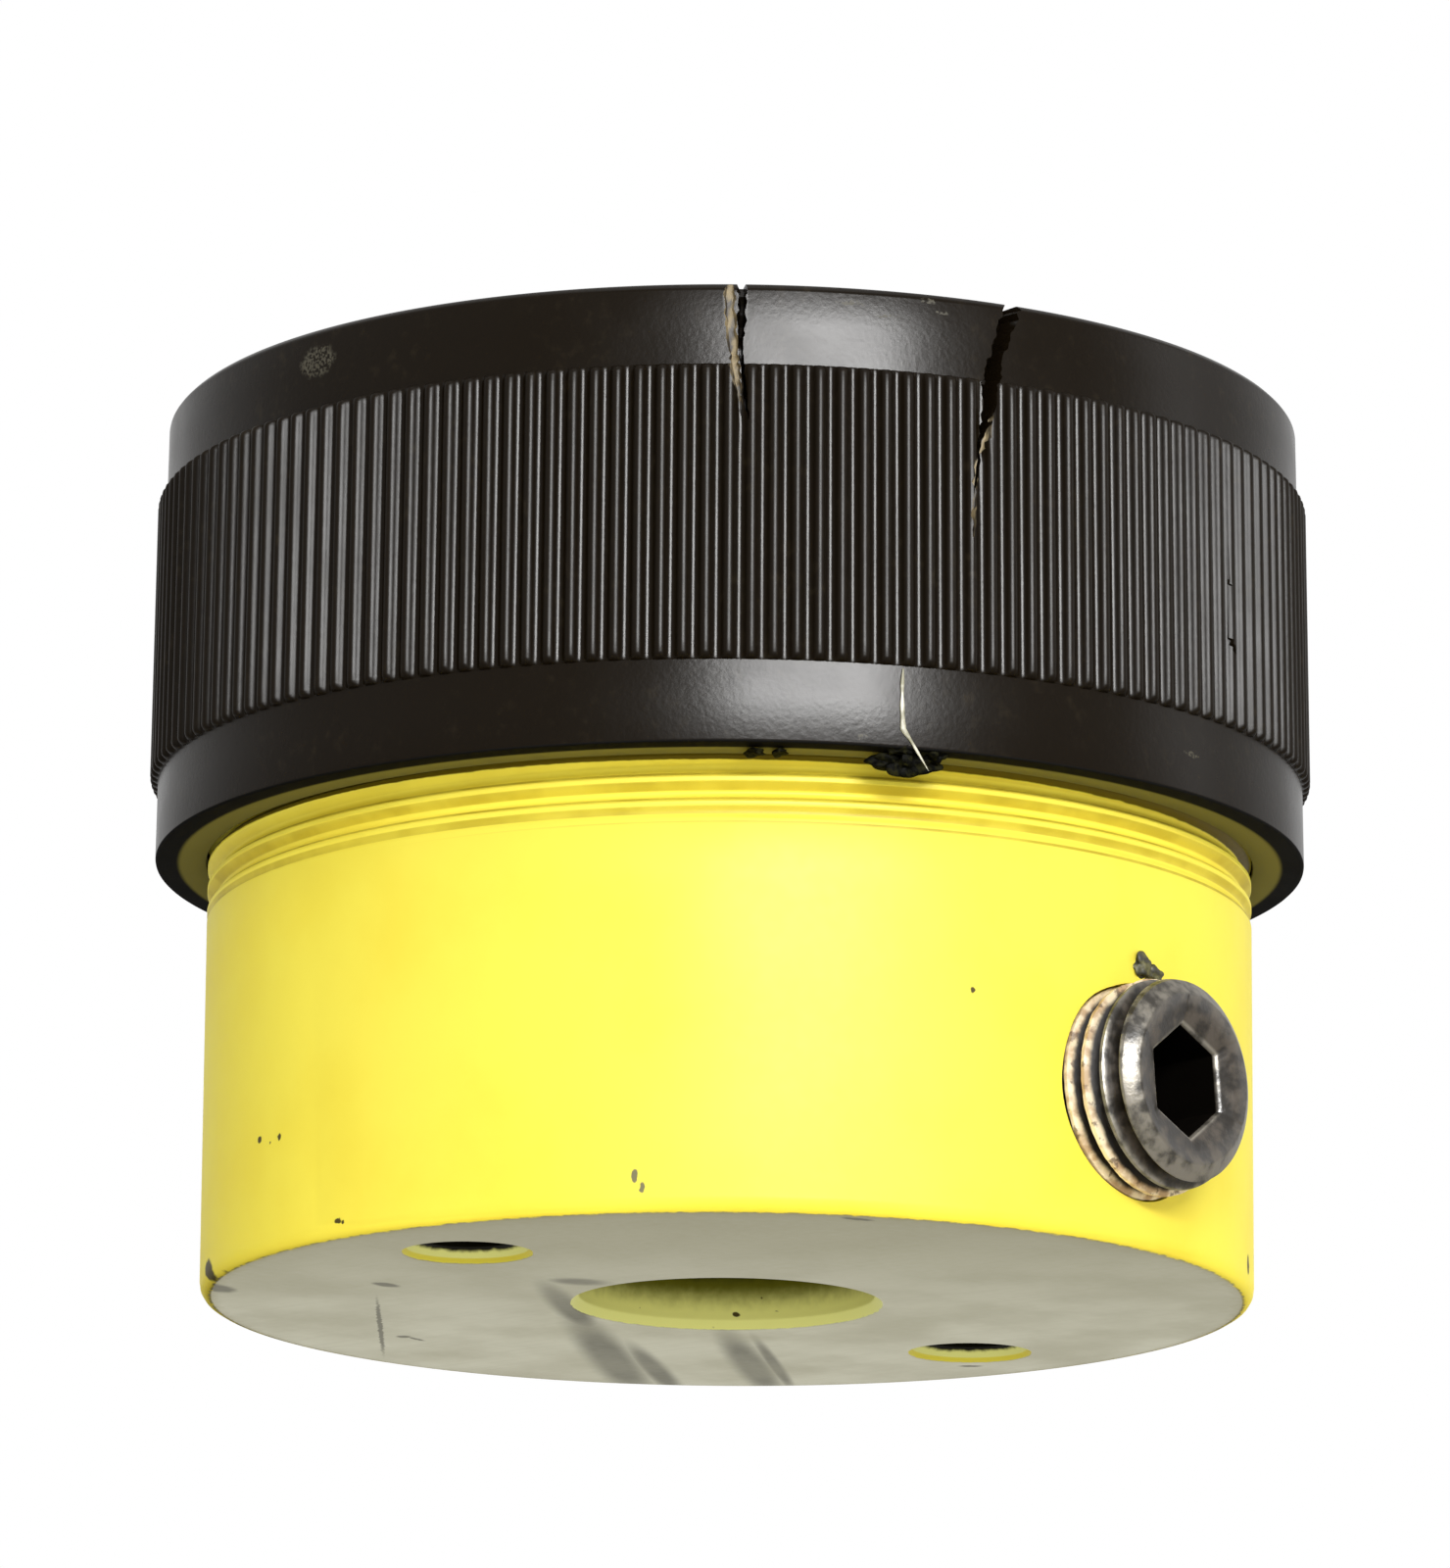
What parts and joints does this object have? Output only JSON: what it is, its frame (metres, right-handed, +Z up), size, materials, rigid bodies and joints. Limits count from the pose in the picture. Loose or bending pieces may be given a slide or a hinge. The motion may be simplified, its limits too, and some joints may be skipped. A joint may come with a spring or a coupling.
{
  "type": "hollow plunger cylinder",
  "caption": "Short single-acting hydraulic cylinder with a hollow plunger, spring return, threaded collar under a ribbed protector, and a tapped base.",
  "frame": {"origin": "centre of the base face, where the cylinder's axis meets it", "axes": "+Z up the cylinder's axis in the direction the plunger extends, -Y along the oil port's axis, X through the two tapped holes in the base"},
  "size_m": [0.0778, 0.0786, 0.0594],
  "materials": {
    "yellow_paint": "glossy lemon yellow enamel on steel, with the base face left as bare machined steel",
    "bare_steel": "turned and ground steel with fine machining lines",
    "hard_chrome": "ground hard chrome",
    "spring_steel": "shot-peened spring steel with an oil film",
    "black_oxide_steel": "black oxide with worn bright edges",
    "black_plastic": "moulded black plastic, semi-gloss, scuffed",
    "sealing_tape": "stained thread sealing tape",
    "black_rubber": "nitrile rubber",
    "seal_polyurethane": "dark blue-grey polyurethane",
    "white_ptfe": "white fluoropolymer",
    "bronze": "bronze bearing strip"
  },
  "bodies": {
    "barrel": {"cylinder_body": "yellow_paint", "centre_tube": "bare_steel", "tube_base_o_ring": "black_rubber", "tube_base_backup_ring": "white_ptfe", "gland_ring": "bare_steel", "rod_bearing": "bronze", "rod_wiper": "seal_polyurethane", "gland_lock_screw": "black_oxide_steel", "return_spring": "spring_steel", "spring_washer": "bare_steel"},
    "piston": {"plunger": "hard_chrome", "piston_seal": "seal_polyurethane", "piston_backup_ring": "white_ptfe", "piston_wear_ring": "bronze", "tube_seal": "seal_polyurethane", "tube_seal_backup_ring": "white_ptfe", "tube_bearing": "bronze", "tube_wiper": "seal_polyurethane"},
    "protector": {"thread_protector": "black_plastic"},
    "plug": {"port_plug": "black_oxide_steel", "plug_sealing_tape": "sealing_tape"}
  },
  "joints": [
    {"name": "plunger_stroke", "type": "slide", "parent": "barrel", "child": "piston", "axis": [0, 0, 1], "range_m": [0, 0.008], "stiffness_N_per_m": 4700, "springref_m": -0.02, "deforming": ["return_spring"]},
    {"name": "protector_unscrew", "type": "slide", "parent": "barrel", "child": "protector", "axis": [0, 0, 1], "range_m": [-0.0039, 0.03]},
    {"name": "plug_unscrew", "type": "slide", "parent": "barrel", "child": "plug", "axis": [0, -1, 0], "range_m": [0, 0.022]}
  ]
}
